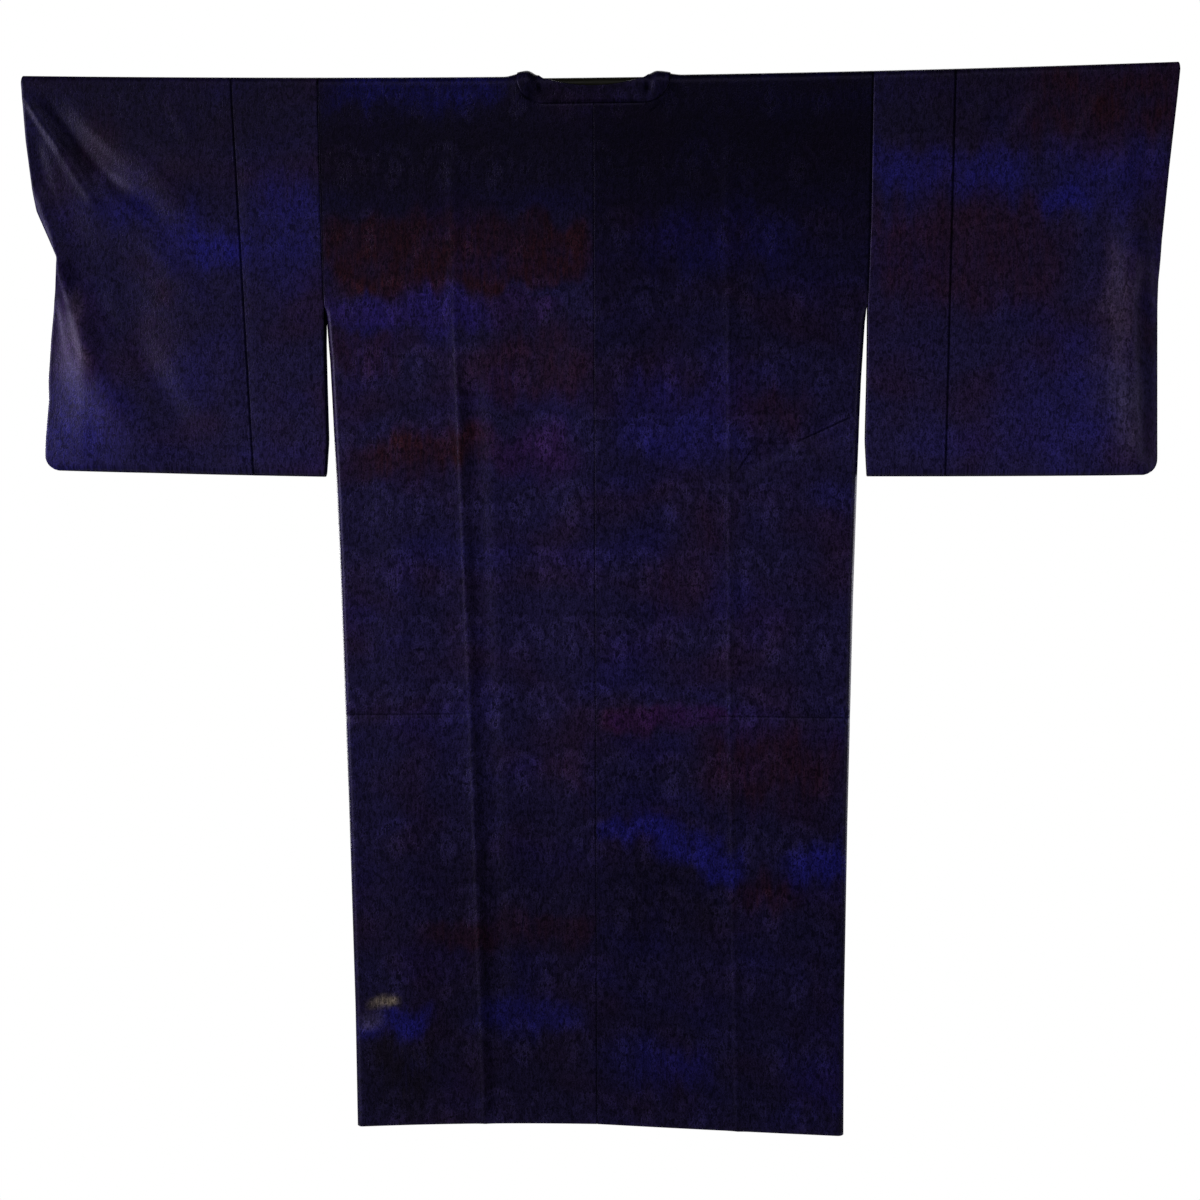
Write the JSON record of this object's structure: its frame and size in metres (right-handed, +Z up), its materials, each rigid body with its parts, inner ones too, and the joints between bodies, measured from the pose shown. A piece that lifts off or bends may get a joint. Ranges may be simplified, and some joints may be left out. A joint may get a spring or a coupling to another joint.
{
  "type": "michiyuki coat on a hanging rod",
  "caption": "Square-necked Japanese overcoat for a kimono, hung flat by its sleeves on a straight rod, with its hollow body and sleeves open.",
  "frame": {"origin": "middle of the hanging rod's axis, in the gap of the neck, where the rod is held", "axes": "+Z up, +X towards the wearer's left along the rod, -Y towards the coat's front and +Y towards its back"},
  "size_m": [1.338, 0.0395, 1.2329],
  "materials": {
    "silk": "dark figured silk with hazy blue, violet and maroon dye and a soft sheen",
    "button_silk": "buttons covered in the same silk",
    "rod": "satin black paint"
  },
  "bodies": {
    "root": {"hanging_rod": "rod", "body_left": "silk", "body_right": "silk", "sleeve_left": "silk", "sleeve_right": "silk", "tateeri_left": "silk", "tateeri_right": "silk", "collar": "silk", "button_upper": "button_silk", "button_lower": "button_silk"}
  },
  "joints": []
}
